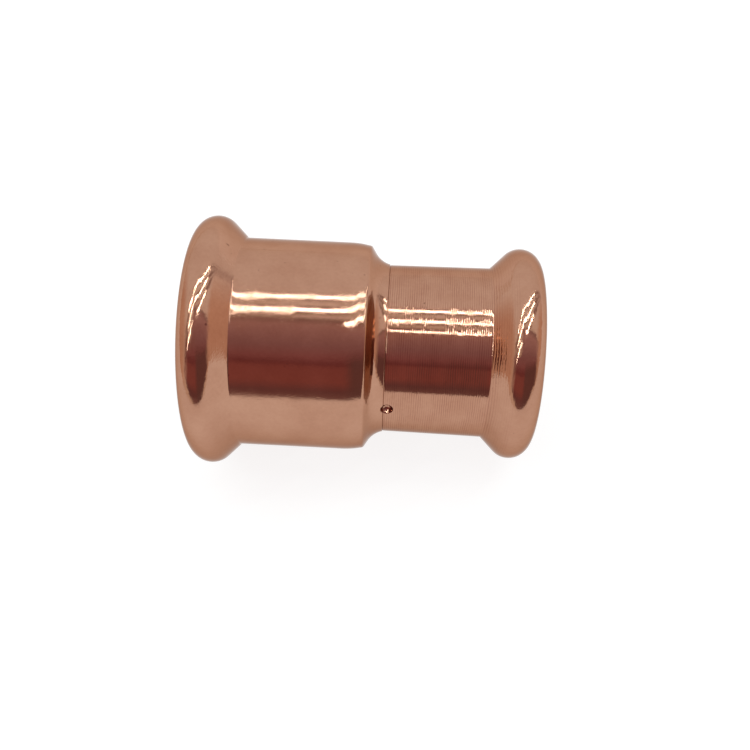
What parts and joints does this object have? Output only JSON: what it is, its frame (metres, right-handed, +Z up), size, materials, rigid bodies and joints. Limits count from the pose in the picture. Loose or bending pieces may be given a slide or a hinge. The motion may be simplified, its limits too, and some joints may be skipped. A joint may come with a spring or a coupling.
{
  "type": "reducing coupling",
  "caption": "Copper press-fit reducing coupling that joins a wide copper tube to a narrower one, with an O-ring seal held in a rolled bead at each mouth.",
  "frame": {"origin": "on the axis of both sockets, in the plane of the inner shoulder where the large tube's end comes to rest", "axes": "+X along the common axis from the large socket to the small one; +Z up when the coupling lies on its side, -Y towards the side that carries the visible punched stop"},
  "size_m": [0.0505, 0.037, 0.037],
  "materials": {
    "copper": "drawn copper: polished beads, faint drawing texture on the large socket, fine turning marks on the small one",
    "seal_rubber": "black moulded EPDM rubber with a satin, lightly greased surface"
  },
  "bodies": {
    "root": {"coupling_body": "copper", "large_seal_ring": "seal_rubber", "small_seal_ring": "seal_rubber"}
  },
  "joints": []
}
